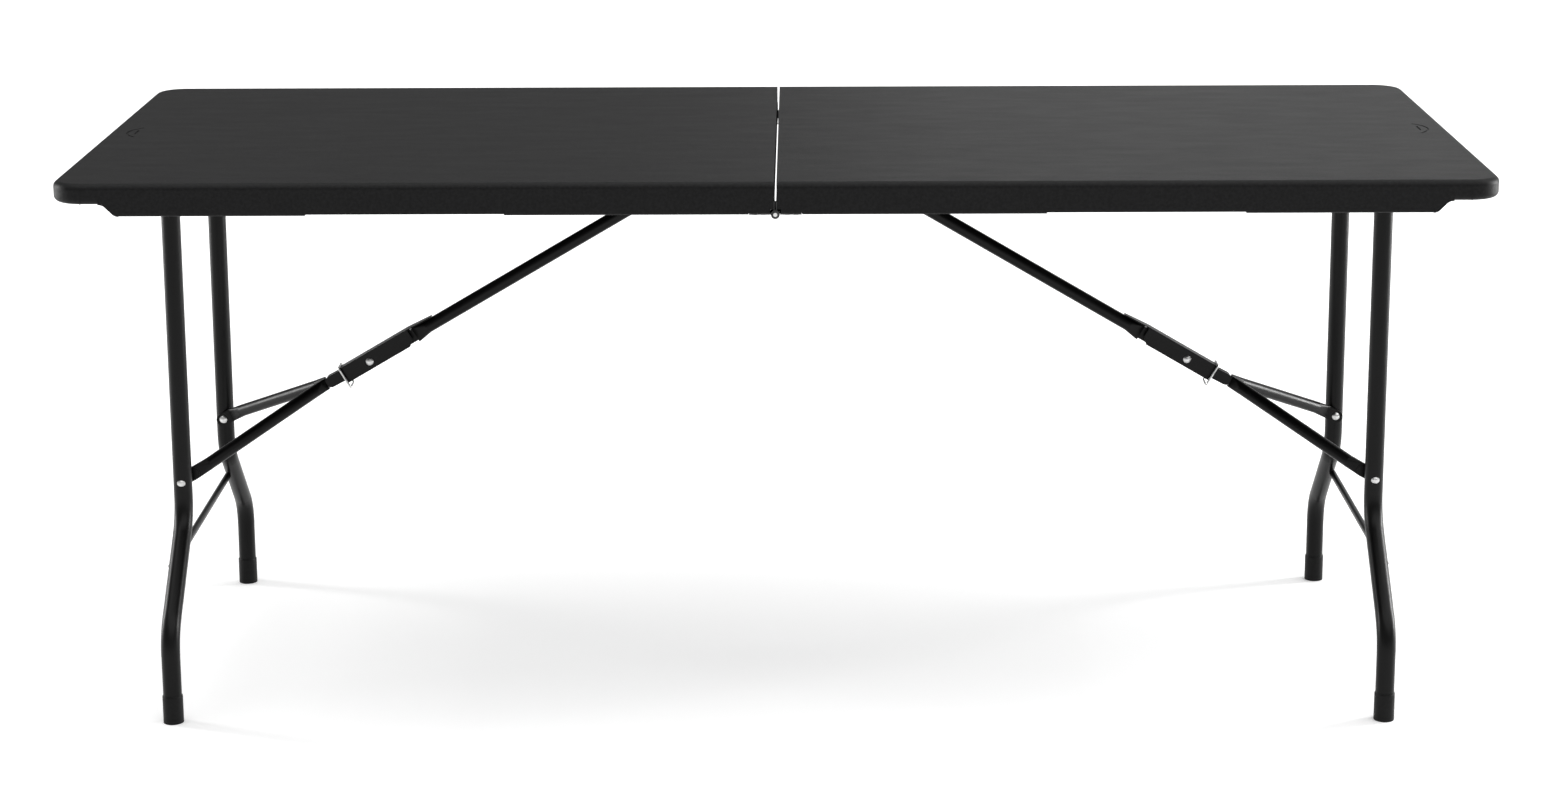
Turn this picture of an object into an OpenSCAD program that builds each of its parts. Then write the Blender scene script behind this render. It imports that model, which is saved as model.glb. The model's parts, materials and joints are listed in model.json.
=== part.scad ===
// Bi-fold folding table: two blow-moulded half tops on a steel frame.
// Each half carries a leg frame that folds inward, held open by a two-part
// brace whose knee is locked by a sliding ring.
// Units are millimetres, +Z is up, the origin is on the floor at the centre.

/* [Table top] */
// Overall length of the open table
table_length = 1820; // [1600:10:2000]
// Overall depth of the table
table_depth = 740; // [700:10:800]
// Height of the top surface above the floor
table_height = 740; // [700:10:760]
// Height of the moulded top, from its skirt to its surface
top_thickness = 41; // [41:1:46]
// Radius of the four plan corners
corner_radius = 40; // [20:1:60]
// Rounding along the upper edge
edge_radius = 8; // [4:1:10]
// Rounding under the rim at the two ends
rim_radius = 7; // [2:1:8]
// Rounding along the bottom of the skirt
skirt_radius = 3; // [1:0.5:4]
// Gap between the two halves
centre_gap = 3; // [2:0.5:5]
// Wall thickness of the moulding
wall = 2.5; // [2:0.5:4]

/* [Leg frames] */
// Distance from the centre of the table to each leg pivot
pivot_x = 797.5; // [780:0.5:800]
// Outside diameter of the leg tube
leg_diameter = 25; // [22:0.5:25]
// Half the distance between the upper legs
leg_spread = 165; // [150:1:170]
// Half the distance between the feet
foot_spread = 298; // [280:1:300]
// Angle of the bend in each leg
bend_angle = 47; // [35:1:50]
// Bend radius on the centreline
bend_radius = 65; // [50:1:70]
// Outward lean of the leg frame
lean = 0.5; // [0:0.1:1]

/* [Brace] */
// Slope of the upper brace
brace_slope = 30.4; // [30.2:0.1:30.6]
// Slope of the lower arms
arm_slope = 28; // [27.8:0.1:28.4]
// Outside diameter of the upper brace tube
brace_diameter = 18; // [16:0.5:18]
// Outside diameter of the lower arms
arm_diameter = 17; // [15:0.5:17]
// Distance from the knee to the locked ring
ring_offset = 41; // [36:1:41]

/* [Hidden] */
$fn = 64;
eps = 0.01;

// Top: main levels and outline
half_length = table_length / 2;
half_depth = table_depth / 2;
skirt_z = table_height - top_thickness;
rim_z = skirt_z + 15;
deck_z = table_height - 18;
pocket_z = table_height - 12.5;
groove_z = table_height - 3.5;
inner_x = centre_gap / 2;
skirt_end = half_length - 68;
skirt_chamfer = rim_z - skirt_z;
sweep_r = 11;
sweep_t = sweep_r * tan(22.5);
sweep_c = sweep_t * cos(45);
recess_x0 = 34;
recess_x1 = 815;
recess_half_depth = 334;
relief_x0 = 339.5;
relief_x1 = 589;
relief_depth = 2;
mark_r = 46;
mark_x = half_length - 74;
mark_width = 2.4;
mark_depth = 1;
groove_half = 24;
groove_x1 = 702;
pocket_play = 3;
pivot_pocket_x0 = 780;
brace_pocket_x0 = 362;
brace_pocket_x1 = 668;
foot_pocket_x0 = 66;
foot_pocket_x1 = 392;
leg_pocket_x0 = 350;
cavity_inset = 9;
cavity_x0 = 46;
centre_wall_x = 44;

// Dimples: first centre, pitch, counts, and the fields they fill as
// [x0, x1, distance from the middle line, outer distance]
dimple_r = 9;
dimple_depth = 12;
dimple_x0 = 92;
dimple_y0 = -290;
dimple_step_x = 54;
dimple_step_y = 64.4;
dimple_columns = 13;
dimple_rows = 10;
dimple_fields = [[408, 764, 196, 291], [100, 346, 38, 134], [684, 764, 38, 134]];

// Rails
rail_w = 16;
rail_y = 317;
rail_z0 = skirt_z + 2.5;
rail_h = deck_z - rail_z0 - 0.3;
rail_x0 = 38;
rail_x1 = 812;
rail_wall = 1.5;
screw_r = 2.1;
screw_head_r = 4.2;
rail_screw_x = [90, 330, 560, 770];

// Hinges on the centre line
hinge_z = skirt_z;
knuckle_r = 5.5;
hinge_pin_r = 2.5;
hinge_y0 = 309;
hinge_y1 = half_depth - 1;
hinge_leaf_x = 33;
hinge_leaf_t = 2;
hinge_third = (hinge_y1 - hinge_y0) / 3;
hinge_play = 0.2;
seat_play = 1.5;
seat_lip = 2.6;
seat_rise = 19;
hinge_flange_rise = 17;

// Leg frame, measured down the leg from its pivot
pivot_z = 712.5;
pivot_tube_r = 11;
pivot_tube_half = 300;
tube_wall = 1.2;
stub_r = 5;
leg_r = leg_diameter / 2;
bend_start = 440;
bend_rise = bend_radius * sin(bend_angle);
bend_shift = bend_radius * (1 - cos(bend_angle));
slant = (foot_spread - leg_spread - 2 * bend_shift) / sin(bend_angle);
bend_end = bend_start + 2 * bend_rise + slant * cos(bend_angle);
lap = 1.5;
step = 0.12;
foot_r = 13.5;
foot_h = 38;
foot_base = 6;
bar_r = 4.8;
bar_drop = 521;
bar_offset = 8.5;
leg_rivet_drop = 418.5;
rivet_r = 3;
rivet_head_r = 5.5;
rivet_head_h = 2.6;
play = 0.05;

// Brace: its lengths are those that let it fold flat with the leg frame
brace_z = 720;
brace_r = brace_diameter / 2;
eye_x = pivot_x + leg_rivet_drop * sin(lean);
eye_z = pivot_z - leg_rivet_drop * cos(lean);
eye_rise = brace_z - eye_z;
fold_reach = eye_x - pivot_x + leg_rivet_drop;
half_tan = tan(brace_slope / 2);
arm_len = (fold_reach + eye_rise * half_tan) / (1 + cos(arm_slope) + sin(arm_slope) * half_tan);
brace_len = (eye_rise - arm_len * sin(arm_slope)) / sin(brace_slope);
knee_x = eye_x - arm_len * cos(arm_slope);
knee_z = eye_z + arm_len * sin(arm_slope);
brace_x = knee_x - brace_len * cos(brace_slope);
brace_tail = 10;
brace_pin_r = 4;
channel_half = 10;
channel_t = 1.5;
channel_top = 12.6;
channel_bottom = -10.6;
channel_down = 43;
channel_up = 68;
channel_web = 106;
channel_cut = 8;
tail_half = 6;
blade_t = 2.4;
blade_top = 9.5;
blade_bottom = -12;
blade_up = 76;
blade_end = 50;
taper = 17;
knee_r = 4;
arm_r = arm_diameter / 2;
arm_plate_t = 4;
arm_plate_h = 18;
arm_gap = 0.3;
arm_eye_y = leg_spread - leg_r - arm_gap;
arm_eye_flat = 34;
knee_plate_t = 6;
knee_plate_h = 16;
knee_plate_y = 1.6;
knee_flat = 70;
ring_wire_r = 1.5;
ring_inner_h = 28.6;
ring_inner_w = 27;
ring_drop = 1.4;
ring_corner = 4;
bracket_x0 = 34.5;
bracket_x1 = 98;
bracket_half = 46;
bracket_t = 2;
ear_y = 9.6;
ear_t = 2.5;
ear_r = 10;

black = [0.10, 0.10, 0.11];
plastic = [0.22, 0.22, 0.23];
rubber = [0.07, 0.07, 0.07];
zinc = [0.75, 0.75, 0.76];

// Puts a right-hand part on its own side of the table
module side(s) {
    if (s > 0) children();
    else mirror([1, 0, 0]) children();
}

// Puts a rear part at the rear, or its mirror image at the front
module place(p) {
    if (p > 0) children();
    else mirror([0, 1, 0]) children();
}

module box(x0, x1, y0, y1, z0, z1) {
    translate([x0, y0, z0]) cube([x1 - x0, y1 - y0, z1 - z0]);
}

// A cylinder along Y
module y_rod(r, y0, y1) {
    translate([0, y0, 0]) rotate([-90, 0, 0]) cylinder(h = y1 - y0, r = r);
}

/* ---------- top ---------- */

// Plan of one half, rounded at its two outer corners
module plan(inset = 0) {
    r = corner_radius - inset;
    x1 = half_length - inset;
    y1 = half_depth - inset;
    translate([inner_x + inset, -y1]) square([x1 - r - inner_x - inset, 2 * y1]);
    translate([inner_x + inset, r - y1]) square([x1 - inner_x - inset, 2 * (y1 - r)]);
    for (s = [-1, 1]) translate([x1 - r, s * (y1 - r)]) circle(r);
}

// What a rounding of radius r takes off an upper edge: outward +X, up +Y
module edge_waste(r) {
    difference() {
        translate([-r, -r]) square([r + 1, r + 1]);
        translate([-r, -r]) circle(r);
        translate([-r - 1, -r - 1]) square([1, 1 + r]);
    }
}

// Waste of a rounding along both long edges from x0, round the corners and the end
module edge_cutter(r, x0) {
    run_x = half_length - corner_radius;
    run_y = half_depth - corner_radius;
    for (s = [-1, 1]) {
        translate([x0, s * half_depth, 0]) rotate([90, 0, 90])
            linear_extrude(run_x - x0) mirror([s > 0 ? 0 : 1, 0]) edge_waste(r);
        translate([run_x, s * run_y, 0]) rotate([0, 0, s > 0 ? 0 : -90])
            rotate_extrude(angle = 90) translate([corner_radius, 0]) edge_waste(r);
    }
    translate([half_length, run_y, 0]) rotate([90, 0, 0]) linear_extrude(2 * run_y) edge_waste(r);
}

// Long-side profile of the skirt: it sweeps up to the rim at its outer end
module skirt_profile() {
    low = skirt_end - skirt_chamfer;
    difference() {
        union() {
            polygon([
                [inner_x, skirt_z], [low - sweep_t, skirt_z], [low + sweep_c, skirt_z + sweep_c],
                [skirt_end - sweep_c, rim_z - sweep_c], [skirt_end + sweep_t, rim_z],
                [skirt_end + sweep_t, rim_z + 5], [inner_x, rim_z + 5]
            ]);
            translate([low - sweep_t, skirt_z + sweep_r]) circle(sweep_r);
        }
        translate([skirt_end + sweep_t, rim_z - sweep_r]) circle(sweep_r);
    }
}

// Shallow moulded mark in the surface near the outer end: an arc and a bar
module end_mark() {
    translate([mark_x, 0, table_height - mark_depth]) {
        rotate([0, 0, -48]) rotate_extrude(angle = 96)
            translate([mark_r, 0]) square([mark_width, 5]);
        translate([mark_r - 12, -14, 0]) cube([mark_width, 28, 5]);
    }
}

module top_outer() {
    difference() {
        union() {
            translate([0, 0, rim_z]) linear_extrude(table_height - rim_z) plan();
            translate([0, half_depth, 0]) rotate([90, 0, 0])
                linear_extrude(table_depth) skirt_profile();
        }
        translate([0, 0, table_height]) edge_cutter(edge_radius, 0);
        translate([0, 0, rim_z]) mirror([0, 0, 1])
            edge_cutter(rim_radius, skirt_end + sweep_t + 1);
        for (s = [-1, 1])
            translate([0, s * half_depth, skirt_z]) rotate([90, 0, 90])
                linear_extrude(skirt_end - skirt_chamfer - sweep_t)
                    mirror([s > 0 ? 0 : 1, 0]) mirror([0, 1]) edge_waste(skirt_radius);
        end_mark();
        for (s = [-1, 1])
            box(relief_x0, relief_x1, s > 0 ? 300 : -half_depth - 1,
                s > 0 ? half_depth + 1 : -300, skirt_z - 1, skirt_z + relief_depth);
    }
}

// Pockets in the underside that take the folded legs and brace
module pockets(grow = 0) {
    g = grow;
    foot_out = foot_spread + foot_r + pocket_play;
    leg_in = leg_spread - leg_r - pocket_play;
    leg_out = leg_spread + leg_r + pocket_play;
    brace_out = leg_in + 2;
    box(recess_x0 - g, recess_x1 + g, -recess_half_depth - g, recess_half_depth + g,
        skirt_z - 1, deck_z + g);
    box(pivot_pocket_x0 - g, recess_x1 + g, -foot_out - g, foot_out + g,
        skirt_z - 1, pocket_z + g);
    box(brace_pocket_x0 - g, brace_pocket_x1 + g, -brace_out - g, brace_out + g,
        skirt_z - 1, pocket_z + g);
    for (s = [-1, 1]) scale([1, s, 1]) {
        box(foot_pocket_x0 - g, foot_pocket_x1 + g, leg_in - g, foot_out + g,
            skirt_z - 1, pocket_z + g);
        box(leg_pocket_x0 - g, recess_x1 + g, leg_in - g, leg_out + g,
            skirt_z - 1, pocket_z + g);
    }
    box(recess_x0 - g, groove_x1 + g, -groove_half - g, groove_half + g,
        skirt_z - 1, groove_z + g);
}

function in_field(x, y, f) = x > f[0] && x < f[1] && abs(y) > f[2] && abs(y) < f[3];

// Centres of the moulded tack-off dimples in the deck
dimples = [
    for (i = [0 : dimple_columns - 1], j = [0 : dimple_rows - 1])
        let (x = dimple_x0 + i * dimple_step_x, y = dimple_y0 + j * dimple_step_y)
            if (len([for (f = dimple_fields) if (in_field(x, y, f)) 1]) > 0) [x, y]
];

module dimple_cones(grow = 0) {
    for (d = dimples)
        translate([d[0], d[1], deck_z - eps])
            cylinder(h = dimple_depth + grow, r1 = dimple_r + grow, r2 = dimple_r / 2 + grow);
}

module cavity() {
    difference() {
        union() {
            translate([0, 0, rim_z + wall])
                linear_extrude(table_height - rim_z - 2 * wall) plan(cavity_inset);
            for (s = [-1, 1]) scale([1, s, 1])
                box(cavity_x0, skirt_end - skirt_chamfer - wall, recess_half_depth + wall,
                    half_depth - 1 - wall, skirt_z + relief_depth + wall, rim_z + wall + 1);
        }
        pockets(wall);
        dimple_cones(wall);
        box(0, centre_wall_x, -half_depth, half_depth, skirt_z, deck_z);
    }
}

// Space for the hinge leaves and their knuckles at the centre edge
module hinge_seats() {
    for (s = [-1, 1]) scale([1, s, 1]) {
        box(0, knuckle_r + seat_play, hinge_y0 - 3, half_depth + 1, skirt_z - 1,
            hinge_z + knuckle_r + seat_play);
        box(0, hinge_leaf_x + 0.5, hinge_y0 - 1, half_depth + 1, skirt_z - 1,
            hinge_z + hinge_leaf_t + 0.2);
        box(0, seat_lip, hinge_y0 - 1, half_depth + 1, skirt_z - 1, skirt_z + seat_rise);
    }
}

module rail_screw_axes() {
    for (x = rail_screw_x) translate([x, rail_y + rail_w / 2, 0]) children();
}

module hinge_screw_axes() {
    for (x = [15, 26], y = [hinge_y0 + 10, hinge_y1 - 10]) translate([x, y, 0]) children();
}

module bracket_screw_axes() {
    for (x = [42, 90], y = [-36, 36]) translate([x, y, 0]) children();
}

module panel() {
    color(plastic) difference() {
        top_outer();
        pockets();
        dimple_cones();
        cavity();
        hinge_seats();
        for (s = [-1, 1]) scale([1, s, 1]) {
            rail_screw_axes() translate([0, 0, deck_z - 1]) cylinder(h = 13, r = screw_r);
            hinge_screw_axes() translate([0, 0, skirt_z]) cylinder(h = 15, r = screw_r);
        }
        bracket_screw_axes() translate([0, 0, deck_z - 1]) cylinder(h = 13, r = screw_r);
    }
}

// Channel open towards the floor, bored for the leg pivot
module rail() {
    color(black) difference() {
        box(rail_x0, rail_x1, rail_y, rail_y + rail_w, rail_z0, rail_z0 + rail_h);
        box(rail_x0 - 1, rail_x1 + 1, rail_y + rail_wall, rail_y + rail_w - rail_wall,
            rail_z0 - 1, rail_z0 + rail_h - rail_wall);
        translate([pivot_x, 0, pivot_z]) y_rod(stub_r + play, rail_y - 1, rail_y + rail_w + 1);
        rail_screw_axes() translate([0, 0, rail_z0]) cylinder(h = 40, r = screw_r + 0.1);
    }
}

// Pan-head screw driven upward, its head under z = 0
module screw(length) {
    translate([0, 0, -2]) cylinder(h = 2, r1 = screw_head_r - 1, r2 = screw_head_r);
    cylinder(h = length, r = screw_r - play);
}

module rail_screws() {
    color(zinc) for (s = [-1, 1]) scale([1, s, 1])
        rail_screw_axes() translate([0, 0, rail_z0 + rail_h - rail_wall - play]) screw(12);
}

/* ---------- centre hinges ---------- */

// Leaf under the centre edge with its knuckles; end knuckles when s < 0
module hinge_leaf(s) {
    color(black) difference() {
        union() {
            box(1, hinge_leaf_x, hinge_y0, hinge_y1, hinge_z, hinge_z + hinge_leaf_t);
            box(1, 2.2, hinge_y0, hinge_y1, hinge_z, skirt_z + hinge_flange_rise);
            for (k = s < 0 ? [0, 2] : [1])
                translate([0, 0, hinge_z]) y_rod(knuckle_r,
                    hinge_y0 + k * hinge_third + (k == 0 ? 0 : hinge_play),
                    hinge_y0 + (k + 1) * hinge_third - (k == 2 ? 0 : hinge_play));
        }
        for (k = s < 0 ? [1] : [0, 2])
            translate([0, 0, hinge_z]) y_rod(knuckle_r + 0.4,
                hinge_y0 + k * hinge_third - (k == 0 ? 1 : hinge_play),
                hinge_y0 + (k + 1) * hinge_third + (k == 2 ? 1 : hinge_play));
        translate([0, 0, hinge_z]) y_rod(hinge_pin_r + play, hinge_y0 - 1, hinge_y1 + 1);
        hinge_screw_axes() translate([0, 0, hinge_z - 1]) cylinder(h = 5, r = screw_r + 0.1);
    }
}

module hinge_screws() {
    color(zinc) for (s = [-1, 1]) scale([1, s, 1])
        hinge_screw_axes() translate([0, 0, hinge_z - play]) screw(13);
}

module hinge_pin() {
    color(zinc) translate([0, 0, hinge_z]) {
        y_rod(hinge_pin_r, hinge_y0 - 1, hinge_y1 + 1);
        y_rod(hinge_pin_r + 1.4, hinge_y0 - 2.2, hinge_y0 - 0.2);
    }
}

/* ---------- leg frame, drawn from its pivot downward ---------- */

module leg_pose() {
    translate([pivot_x, 0, pivot_z]) rotate([0, -lean, 0]) children();
}

// Cross-section of the leg tube, or of the solid rod it is cut from
module ring_section(r, bore, thin = 0) {
    difference() {
        circle(r - thin);
        if (bore > 0) circle(bore + thin);
    }
}

// The bent leg on the rear side with outer radius r, hollow when bore > 0
module leg_rod(r, bore, top, bottom) {
    translate([0, leg_spread, -bend_start]) linear_extrude(bend_start - top) ring_section(r, bore);
    translate([0, leg_spread + bend_radius, -bend_start]) rotate([180, 0, 0]) rotate([90, 0, 90])
        rotate_extrude(angle = bend_angle) translate([bend_radius, 0]) ring_section(r, bore);
    translate([0, leg_spread + bend_shift, -bend_start - bend_rise])
        rotate([180 + bend_angle, 0, 0]) translate([0, 0, -lap])
            linear_extrude(slant + 2 * lap) ring_section(r, bore, step);
    translate([0, foot_spread - bend_radius, -bend_end]) rotate([90, 0, 90])
        rotate_extrude(angle = bend_angle) translate([bend_radius, 0]) ring_section(r, bore);
    translate([0, foot_spread, -bottom])
        linear_extrude(bottom - bend_end + lap) ring_section(r, bore, step);
}

module leg() {
    color(black) leg_pose() difference() {
        leg_rod(leg_r, leg_r - tube_wall, 4, pivot_z - foot_base - 0.3);
        y_rod(pivot_tube_r + play, leg_spread - 20, leg_spread + 20);
        translate([0, 0, -leg_rivet_drop])
            y_rod(rivet_r + play, leg_spread - leg_r - 1, leg_spread + leg_r + 1);
    }
}

module pivot_tube() {
    color(black) leg_pose() difference() {
        y_rod(pivot_tube_r, -pivot_tube_half, pivot_tube_half);
        y_rod(pivot_tube_r - tube_wall, -pivot_tube_half - 1, pivot_tube_half + 1);
    }
}

// Plug in each end of the pivot tube, turned down to the stub in the rail
module pivot_plugs() {
    color(black) leg_pose() for (s = [-1, 1]) scale([1, s, 1]) {
        y_rod(pivot_tube_r - tube_wall - play, pivot_tube_half - 25, pivot_tube_half);
        y_rod(pivot_tube_r, pivot_tube_half, pivot_tube_half + 3);
        y_rod(stub_r, pivot_tube_half + 3, rail_y + rail_w - 3);
    }
}

module cross_bar() {
    reach = leg_spread + bend_shift + (bar_drop - bend_start - bend_rise) * tan(bend_angle);
    color(black) leg_pose() difference() {
        translate([bar_offset, 0, -bar_drop]) y_rod(bar_r, -reach, reach);
        for (s = [-1, 1]) scale([1, s, 1]) leg_rod(leg_r + 0.02, 0, 300, 700);
    }
}

module foot() {
    color(rubber) difference() {
        leg_pose() translate([0, foot_spread, -pivot_z - 4]) difference() {
            union() {
                cylinder(h = foot_h + 2, r = foot_r);
                translate([0, 0, foot_h + 2])
                    cylinder(h = 2, r1 = foot_r, r2 = foot_r - 0.7);
            }
            translate([0, 0, foot_base + 4]) cylinder(h = foot_h, r = leg_r + play);
        }
        box(pivot_x - 99, pivot_x + 99, foot_spread - 99, foot_spread + 99, -20, 0);
    }
}

// Fixed half of each leg rivet: a shank through the leg, its head outside
module leg_rivets() {
    color(zinc) leg_pose() for (s = [-1, 1]) scale([1, s, 1])
        translate([0, 0, -leg_rivet_drop]) {
            y_rod(rivet_r, leg_spread - leg_r, leg_spread + leg_r + 1);
            translate([0, leg_spread + leg_r - 1.2, 0]) rivet_head();
        }
}

// Domed head on the plane y = 0, bulging towards +Y
module rivet_head() {
    dome = (rivet_head_r * rivet_head_r + rivet_head_h * rivet_head_h) / (2 * rivet_head_h);
    intersection() {
        translate([0, rivet_head_h - dome, 0]) sphere(dome);
        y_rod(rivet_head_r, 0, rivet_head_h + 1);
    }
}

/* ---------- upper brace, drawn from its pivot along +X ---------- */

module brace_pose() {
    translate([brace_x, 0, brace_z]) rotate([0, brace_slope, 0]) children();
}

module x_rod(r, x0, x1) {
    translate([x0, 0, 0]) rotate([0, 90, 0]) cylinder(h = x1 - x0, r = r);
}

// Flat strip centred on y, with round ends
module strip(x0, x1, h, y0, t) {
    r = h / 2 - 0.01;
    translate([0, y0 + t, 0]) rotate([90, 0, 0]) linear_extrude(t) {
        translate([x0, r - h / 2]) square([x1 - x0, h - 2 * r]);
        translate([x0 + r, -h / 2]) square([x1 - x0 - 2 * r, h]);
        for (x = [x0 + r, x1 - r], z = [r - h / 2, h / 2 - r]) translate([x, z]) circle(r);
    }
}

// Tube whose lower end is pressed to a blade
module upper_brace() {
    tube_end = brace_len - blade_up - taper;
    color(black) brace_pose() difference() {
        union() {
            x_rod(brace_r, -brace_tail, tube_end - 0.5);
            hull() {
                x_rod(brace_r + 0.07, tube_end - 1, tube_end, $fn = 32);
                translate([brace_len - blade_up, -blade_t / 2, blade_bottom])
                    cube([3, blade_t, blade_top - blade_bottom]);
            }
            box(brace_len - blade_up + 1, brace_len - blade_end, -blade_t / 2, blade_t / 2,
                channel_bottom + 1, blade_top - 0.5);
        }
        x_rod(brace_r - tube_wall, -brace_tail - 1, tube_end - 3);
        y_rod(brace_pin_r + play, -brace_r - 1, brace_r + 1);
    }
}

// Side view of the knee channel, with a tail that comes down onto the tube
module channel_profile() {
    start = brace_len - channel_up;
    finish = brace_len + channel_down;
    tail = brace_len - channel_web;
    inner_top = channel_top - channel_t;
    polygon([
        [tail, brace_r - 0.1], [tail, brace_r + channel_t], [start, channel_top],
        [finish, channel_top], [finish, channel_bottom],
        [start + channel_cut, channel_bottom], [start, channel_bottom + channel_cut],
        [start, inner_top]
    ]);
}

// Inverted channel over the knee, open towards the floor
module knee_channel() {
    w = channel_half;
    start = brace_len - channel_up;
    finish = brace_len + channel_down;
    tail = brace_len - channel_web;
    color(black) brace_pose() difference() {
        translate([0, w, 0]) rotate([90, 0, 0]) linear_extrude(2 * w) channel_profile();
        box(start - 1, finish + 1, channel_t - w, w - channel_t,
            channel_bottom - 1, channel_top - channel_t);
        x_rod(brace_r + play, 0, start);
        for (s = [-1, 1]) scale([1, s, 1]) linear_extrude(20)
            polygon([[tail - 1, tail_half], [start, w + 0.1], [tail - 1, w + 0.1]]);
        translate([brace_len, 0, 0]) y_rod(knee_r + play, -w - 1, w + 1);
    }
}

// Plate under the deck with two ears that carry the brace pivot
module brace_bracket() {
    color(black) difference() {
        union() {
            box(bracket_x0, bracket_x1, -bracket_half, bracket_half,
                deck_z - bracket_t - 0.2, deck_z - 0.2);
            for (s = [-1, 1]) scale([1, s, 1]) {
                box(brace_x - ear_r, brace_x + ear_r, ear_y, ear_y + ear_t,
                    brace_z - 3, deck_z - 1);
                translate([brace_x, 0, brace_z - 3]) y_rod(ear_r, ear_y, ear_y + ear_t);
            }
        }
        box(brace_x - 15, bracket_x1 + 1, -ear_y, ear_y, brace_z - 20, deck_z + 1);
        box(brace_x - 7, brace_x + 7, ear_y + ear_t, 16, brace_z - 8, deck_z + 9);
        box(brace_x - 7, brace_x + 7, -16, -ear_y - ear_t, brace_z - 8, deck_z + 9);
        translate([brace_x, 0, brace_z]) y_rod(brace_pin_r + play, -20, 20);
        bracket_screw_axes() translate([0, 0, deck_z - 20])
            cylinder(h = 30, r = screw_r + 0.1);
    }
}

module bracket_screws() {
    color(zinc) bracket_screw_axes() translate([0, 0, deck_z - bracket_t - 0.2 - play])
        screw(11);
}

module brace_pin() {
    color(zinc) translate([brace_x, 0, brace_z]) {
        y_rod(brace_pin_r, -14, 14);
        for (s = [-1, 1]) scale([1, s, 1])
            y_rod(brace_pin_r + 1.8, ear_y + ear_t + 0.1, ear_y + ear_t + 2);
    }
}

/* ---------- lower arms, drawn from the knee along +X ---------- */

module arm_pose() {
    translate([knee_x, 0, knee_z]) rotate([0, arm_slope, 0]) children();
}

// Tube pressed flat at both ends: inside the knee channel and against the leg
module arm() {
    eye_y = arm_eye_y - arm_plate_t;
    start = [knee_flat + 16, knee_plate_y + knee_plate_t / 2 + 10.9];
    finish = [arm_len - arm_eye_flat, eye_y - 8];
    run = norm(finish - start);
    turn = atan2(finish[1] - start[1], finish[0] - start[0]);
    color(black) arm_pose() difference() {
        union() {
            strip(-knee_plate_h / 2, knee_flat, knee_plate_h, knee_plate_y, knee_plate_t);
            hull() {
                translate([knee_flat - 1, knee_plate_y, -knee_plate_h / 2])
                    cube([1, knee_plate_t, knee_plate_h]);
                translate([start[0], start[1], 0]) rotate([0, 0, turn])
                    x_rod(arm_r + 0.06, 0, 1.5, $fn = 32);
            }
            translate([start[0], start[1], 0]) rotate([0, 0, turn]) x_rod(arm_r, 1, run - 1);
            hull() {
                translate([finish[0], finish[1], 0]) rotate([0, 0, turn])
                    x_rod(arm_r + 0.06, -1.5, 0, $fn = 32);
                translate([arm_len - 14, eye_y, -arm_plate_h / 2])
                    cube([1, arm_plate_t, arm_plate_h]);
            }
            strip(arm_len - 22, arm_len + arm_plate_h / 2 + 1, arm_plate_h, eye_y, arm_plate_t);
        }
        translate([start[0], start[1], 0]) rotate([0, 0, turn])
            x_rod(arm_r - tube_wall, 4, run - 4);
        y_rod(knee_r + play, knee_plate_y - 1, knee_plate_y + knee_plate_t + 1);
        translate([arm_len, 0, 0]) y_rod(rivet_r + play, eye_y - 1, arm_eye_y + 1);
    }
}

module knee_rivet() {
    color(zinc) arm_pose() {
        y_rod(knee_r, -channel_half - 1, channel_half + 1);
        for (s = [-1, 1]) scale([1, s, 1]) translate([0, channel_half + play, 0]) rivet_head();
    }
}

// Moving half of each leg rivet: its inner head and the stub in the arm's eye
module arm_rivets() {
    color(zinc) arm_pose() for (s = [-1, 1]) scale([1, s, 1]) translate([arm_len, 0, 0]) {
        y_rod(rivet_r, arm_eye_y - arm_plate_t - 1, arm_eye_y);
        translate([0, arm_eye_y - arm_plate_t - play, 0]) mirror([0, 1, 0]) rivet_head();
    }
}

/* ---------- locking ring, a rectangular wire loop ---------- */

module lock_ring() {
    w = ring_inner_w / 2 + ring_wire_r;
    h = ring_inner_h / 2 + ring_wire_r;
    c = ring_corner;
    color(zinc) brace_pose() translate([brace_len + ring_offset, 0, -ring_drop])
        rotate([90, 0, 90]) {
        for (s = [-1, 1]) {
            translate([s * w, c - h, 0]) rotate([-90, 0, 0]) cylinder(h = 2 * (h - c), r = ring_wire_r);
            translate([c - w, s * h, 0]) rotate([0, 90, 0]) cylinder(h = 2 * (w - c), r = ring_wire_r);
        }
        for (a = [0 : 3])
            translate([(a == 0 || a == 3 ? 1 : -1) * (w - c), (a < 2 ? 1 : -1) * (h - c), 0])
                rotate([0, 0, 90 * a])
                    rotate_extrude(angle = 90) translate([c, 0]) circle(ring_wire_r);
    }
}

/* ---------- nodes ---------- */

side(-1) panel();  // left_panel
side(-1) place(-1) rail();  // left_front_rail
side(-1) rail();  // left_rear_rail
side(-1) rail_screws();  // left_rail_screws
side(-1) place(-1) hinge_leaf(-1);  // left_front_hinge_leaf
side(-1) hinge_leaf(-1);  // left_rear_hinge_leaf
side(-1) hinge_screws();  // left_hinge_screws
side(-1) brace_bracket();  // left_brace_bracket
side(-1) bracket_screws();  // left_bracket_screws
side(-1) brace_pin();  // left_brace_pin
side(-1) pivot_tube();  // left_pivot_tube
side(-1) pivot_plugs();  // left_pivot_plugs
side(-1) place(-1) leg();  // left_front_leg
side(-1) leg();  // left_rear_leg
side(-1) cross_bar();  // left_cross_bar
side(-1) place(-1) foot();  // left_front_foot
side(-1) foot();  // left_rear_foot
side(-1) leg_rivets();  // left_leg_rivets
side(-1) upper_brace();  // left_upper_brace
side(-1) knee_channel();  // left_knee_channel
side(-1) place(-1) arm();  // left_front_arm
side(-1) arm();  // left_rear_arm
side(-1) knee_rivet();  // left_knee_rivet
side(-1) arm_rivets();  // left_arm_rivets
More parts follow.
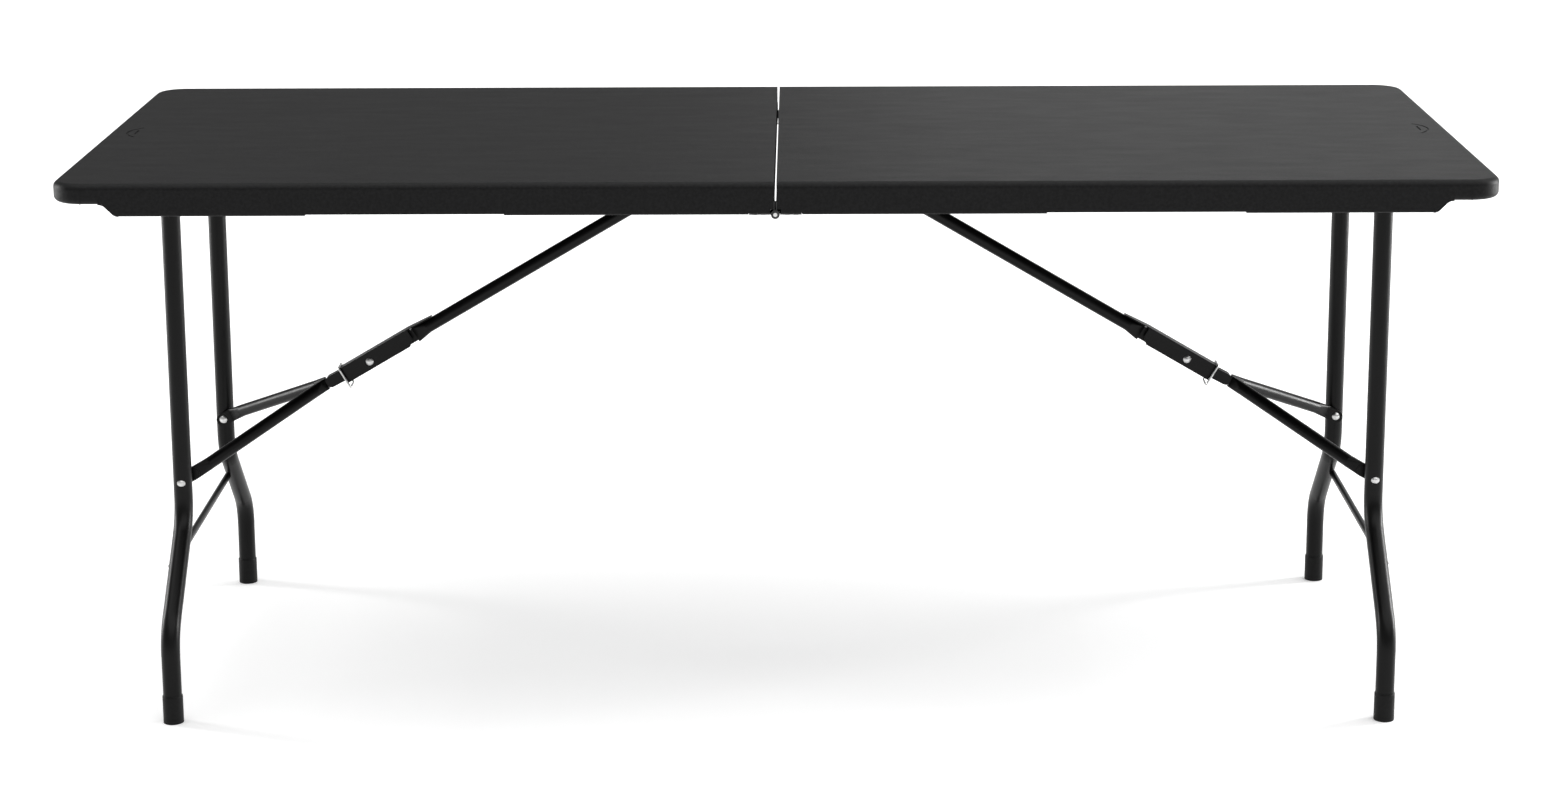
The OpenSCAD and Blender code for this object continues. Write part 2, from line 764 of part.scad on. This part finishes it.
side(-1) lock_ring();  // left_lock_ring
panel();  // right_panel
place(-1) rail();  // right_front_rail
rail();  // right_rear_rail
rail_screws();  // right_rail_screws
place(-1) hinge_leaf(1);  // right_front_hinge_leaf
hinge_leaf(1);  // right_rear_hinge_leaf
hinge_screws();  // right_hinge_screws
brace_bracket();  // right_brace_bracket
bracket_screws();  // right_bracket_screws
brace_pin();  // right_brace_pin
pivot_tube();  // right_pivot_tube
pivot_plugs();  // right_pivot_plugs
place(-1) leg();  // right_front_leg
leg();  // right_rear_leg
cross_bar();  // right_cross_bar
place(-1) foot();  // right_front_foot
foot();  // right_rear_foot
leg_rivets();  // right_leg_rivets
upper_brace();  // right_upper_brace
knee_channel();  // right_knee_channel
place(-1) arm();  // right_front_arm
arm();  // right_rear_arm
knee_rivet();  // right_knee_rivet
arm_rivets();  // right_arm_rivets
lock_ring();  // right_lock_ring
place(-1) hinge_pin();  // front_hinge_pin
hinge_pin();  // rear_hinge_pin
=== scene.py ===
import json
import math

import bpy
from mathutils import Matrix, Vector

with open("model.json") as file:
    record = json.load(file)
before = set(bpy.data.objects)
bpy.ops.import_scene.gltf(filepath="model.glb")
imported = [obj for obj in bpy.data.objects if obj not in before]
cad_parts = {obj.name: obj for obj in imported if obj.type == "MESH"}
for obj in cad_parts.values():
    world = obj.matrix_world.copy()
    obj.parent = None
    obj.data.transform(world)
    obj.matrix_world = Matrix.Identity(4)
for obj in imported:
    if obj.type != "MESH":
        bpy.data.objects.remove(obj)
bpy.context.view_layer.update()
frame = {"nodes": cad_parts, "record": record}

# ---------------------------------------------------------------- camera

CAMERA_AT = Vector((0.0304, -4.2725, 1.5037))
CAMERA_PITCH = math.radians(14.98)
CAMERA_YAW = math.radians(-0.301)
CAMERA_ROLL = math.radians(-0.240)
CAMERA_LENS = 73.06


def add_camera():
    """A camera that looks along +Y, pitched down and slightly rolled."""
    forward = Vector((
        math.sin(CAMERA_YAW) * math.cos(CAMERA_PITCH),
        math.cos(CAMERA_YAW) * math.cos(CAMERA_PITCH),
        -math.sin(CAMERA_PITCH),
    ))
    level = Vector((math.cos(CAMERA_YAW), -math.sin(CAMERA_YAW), 0))
    upright = level.cross(forward)
    right = level * math.cos(CAMERA_ROLL) + upright * math.sin(CAMERA_ROLL)
    up = upright * math.cos(CAMERA_ROLL) - level * math.sin(CAMERA_ROLL)
    data = bpy.data.cameras.new("camera")
    data.lens = CAMERA_LENS
    data.sensor_width = 36
    data.clip_end = 50
    camera = bpy.data.objects.new("camera", data)
    turn = Matrix((right, up, -forward)).transposed().to_4x4()
    camera.matrix_world = Matrix.Translation(CAMERA_AT) @ turn
    bpy.context.collection.objects.link(camera)
    bpy.context.scene.camera = camera


# ---------------------------------------------------------------- materials


def new_material(name):
    """An empty node material: (material, principled shader, adder of nodes, links)."""
    material = bpy.data.materials.new(name)
    material.use_nodes = True
    tree = material.node_tree
    shader = tree.nodes["Principled BSDF"]
    return material, shader, tree.nodes.new, tree.links.new


def noise(add, link, coord, scale, detail=3.0, stretch=None):
    """Noise in object coordinates; stretch scales the coordinates first."""
    node = add("ShaderNodeTexNoise")
    node.inputs["Scale"].default_value = scale
    node.inputs["Detail"].default_value = detail
    if stretch:
        mapping = add("ShaderNodeMapping")
        mapping.inputs["Scale"].default_value = stretch
        link(coord.outputs["Object"], mapping.inputs["Vector"])
        link(mapping.outputs["Vector"], node.inputs["Vector"])
    else:
        link(coord.outputs["Object"], node.inputs["Vector"])
    return node


def ramp(add, link, source, low, high, start=0.35, end=0.65):
    """A two-colour ramp over a noise."""
    node = add("ShaderNodeValToRGB")
    node.color_ramp.elements[0].position = start
    node.color_ramp.elements[1].position = end
    node.color_ramp.elements[0].color = (*low, 1)
    node.color_ramp.elements[1].color = (*high, 1)
    link(source.outputs["Fac"], node.inputs["Fac"])
    return node


def spread(add, link, source, low, high):
    """Maps a noise onto low..high."""
    node = add("ShaderNodeMapRange")
    node.inputs["From Min"].default_value = 0.3
    node.inputs["From Max"].default_value = 0.7
    node.inputs["To Min"].default_value = low
    node.inputs["To Max"].default_value = high
    link(source.outputs["Fac"], node.inputs["Value"])
    return node


def bump(add, link, source, strength, distance, under=None):
    """A bump from a noise, laid over another bump if one is given."""
    node = add("ShaderNodeBump")
    node.inputs["Strength"].default_value = strength
    node.inputs["Distance"].default_value = distance
    link(source.outputs["Fac"], node.inputs["Height"])
    if under:
        link(under.outputs["Normal"], node.inputs["Normal"])
    return node


def moulded_plastic(name, low, high, rough_low, rough_high):
    """Moulded plastic with a pebbled grain, faint streaks along X and slow waves."""
    material, shader, add, link = new_material(name)
    coord = add("ShaderNodeTexCoord")
    fleck = noise(add, link, coord, 260.0, 3.0)
    streak = noise(add, link, coord, 45.0, 5.0, stretch=(0.3, 1, 1))
    pebble = noise(add, link, coord, 620.0, 2.0)
    waves = noise(add, link, coord, 7.0, 1.0)
    link(ramp(add, link, fleck, low, high).outputs["Color"], shader.inputs["Base Color"])
    link(spread(add, link, streak, rough_low, rough_high).outputs["Result"],
         shader.inputs["Roughness"])
    slow = bump(add, link, waves, 0.05, 0.002)
    fine = bump(add, link, pebble, 0.5, 0.0005, under=slow)
    link(fine.outputs["Normal"], shader.inputs["Normal"])
    shader.inputs["Specular IOR Level"].default_value = 0.13
    return material


def coated_steel(name, low, high, rough_low, rough_high):
    """Satin powder coat with a slight orange peel."""
    material, shader, add, link = new_material(name)
    coord = add("ShaderNodeTexCoord")
    tint = noise(add, link, coord, 14.0, 3.0)
    peel = noise(add, link, coord, 420.0, 2.0)
    link(ramp(add, link, tint, low, high).outputs["Color"], shader.inputs["Base Color"])
    link(spread(add, link, tint, rough_low, rough_high).outputs["Result"],
         shader.inputs["Roughness"])
    link(bump(add, link, peel, 0.12, 0.0005).outputs["Normal"], shader.inputs["Normal"])
    shader.inputs["Specular IOR Level"].default_value = 0.15
    return material


def plated_steel(name, low, high, rough_low, rough_high):
    """Plated metal with cloudy roughness and fine scratches."""
    material, shader, add, link = new_material(name)
    coord = add("ShaderNodeTexCoord")
    cloud = noise(add, link, coord, 60.0, 4.0)
    scratch = noise(add, link, coord, 300.0, 2.0, stretch=(1, 1, 9))
    link(ramp(add, link, cloud, low, high).outputs["Color"], shader.inputs["Base Color"])
    link(spread(add, link, cloud, rough_low, rough_high).outputs["Result"],
         shader.inputs["Roughness"])
    link(bump(add, link, scratch, 0.1, 0.0003).outputs["Normal"], shader.inputs["Normal"])
    shader.inputs["Metallic"].default_value = 1.0
    return material


MATERIALS = {
    "top_plastic": moulded_plastic(
        "top_plastic", (0.0032, 0.0032, 0.0033), (0.0066, 0.0066, 0.0069), 0.45, 0.49),
    "black_frame": coated_steel(
        "black_frame", (0.0016, 0.0016, 0.0016), (0.0026, 0.0026, 0.0026), 0.30, 0.37),
    "zinc": plated_steel("zinc", (0.50, 0.50, 0.50), (0.68, 0.68, 0.67), 0.24, 0.38),
    "hinge_zinc": plated_steel(
        "hinge_zinc", (0.03, 0.03, 0.03), (0.06, 0.06, 0.06), 0.35, 0.5),
    "black_nylon": moulded_plastic(
        "black_nylon", (0.004, 0.004, 0.004), (0.006, 0.006, 0.006), 0.4, 0.5),
    "foot_cap": moulded_plastic(
        "foot_cap", (0.004, 0.004, 0.004), (0.006, 0.006, 0.006), 0.42, 0.55),
}

for part in frame["record"]["subparts"]:
    mesh = frame["nodes"][part["node"]].data
    mesh.materials.clear()
    mesh.materials.append(MATERIALS[part["material_slot"]])

# ---------------------------------------------------------------- floor and light


FLOOR_HALF = 40.0
FLOOR_DROP = 0.0005
FLOOR_GLOW = 0.16


def add_floor():
    """A wide pale floor, slightly lit from within so that shadows stay faint."""
    half = FLOOR_HALF
    mesh = bpy.data.meshes.new("floor")
    corners = [(-half, -half, 0), (half, -half, 0), (half, half, 0), (-half, half, 0)]
    mesh.from_pydata(corners, [], [(0, 1, 2, 3)])
    floor = bpy.data.objects.new("floor", mesh)
    floor.location.z = -FLOOR_DROP
    material, shader, add, link = new_material("floor_paint")
    coord = add("ShaderNodeTexCoord")
    cloud = noise(add, link, coord, 0.7, 2.0)
    link(ramp(add, link, cloud, (0.90, 0.90, 0.90), (0.93, 0.93, 0.93)).outputs["Color"],
         shader.inputs["Base Color"])
    shader.inputs["Roughness"].default_value = 0.7
    shader.inputs["Emission Color"].default_value = (1, 1, 1, 1)
    shader.inputs["Emission Strength"].default_value = FLOOR_GLOW
    mesh.materials.append(material)
    bpy.context.collection.objects.link(floor)


# Softboxes: name, place, width and height, watts
SOFTBOXES = [
    ("back", (3.0, 8.0, 2.8), (6.0, 2.6), 40),
    ("rim_right", (5.5, 1.6, 1.3), (0.9, 2.4), 260),
    ("rim_left", (-5.5, 1.6, 1.3), (0.9, 2.4), 160),
]
LIGHT_TARGET = Vector((0, 0, 0.6))
SKY_STRENGTH = 0.3
OVERHEAD_ENERGY = 3.1
OVERHEAD_ANGLE = math.radians(100)
OVERHEAD_TILT = (math.radians(8), math.radians(14), 0)


def add_light(name, kind, energy):
    """A lamp of one kind at the origin: (its object, its data)."""
    data = bpy.data.lights.new(name, kind)
    data.energy = energy
    light = bpy.data.objects.new(name, data)
    bpy.context.collection.objects.link(light)
    return light, data


def add_softbox(name, at, size, watts):
    """A rectangular area light aimed at the table."""
    light, data = add_light(name, "AREA", watts)
    data.shape = "RECTANGLE"
    data.size, data.size_y = size
    light.location = at
    aim = LIGHT_TARGET - Vector(at)
    light.rotation_euler = aim.to_track_quat("-Z", "Y").to_euler()


def add_lights():
    """A dim even sky, a broad overhead light and the softboxes."""
    world = bpy.data.worlds.new("studio")
    world.use_nodes = True
    sky = world.node_tree.nodes["Background"]
    sky.inputs["Color"].default_value = (1, 1, 1, 1)
    sky.inputs["Strength"].default_value = SKY_STRENGTH
    bpy.context.scene.world = world
    overhead, data = add_light("overhead", "SUN", OVERHEAD_ENERGY)
    data.angle = OVERHEAD_ANGLE
    overhead.rotation_euler = OVERHEAD_TILT
    for softbox in SOFTBOXES:
        add_softbox(*softbox)


add_camera()
add_floor()
add_lights()
bpy.context.scene.view_settings.view_transform = "Standard"
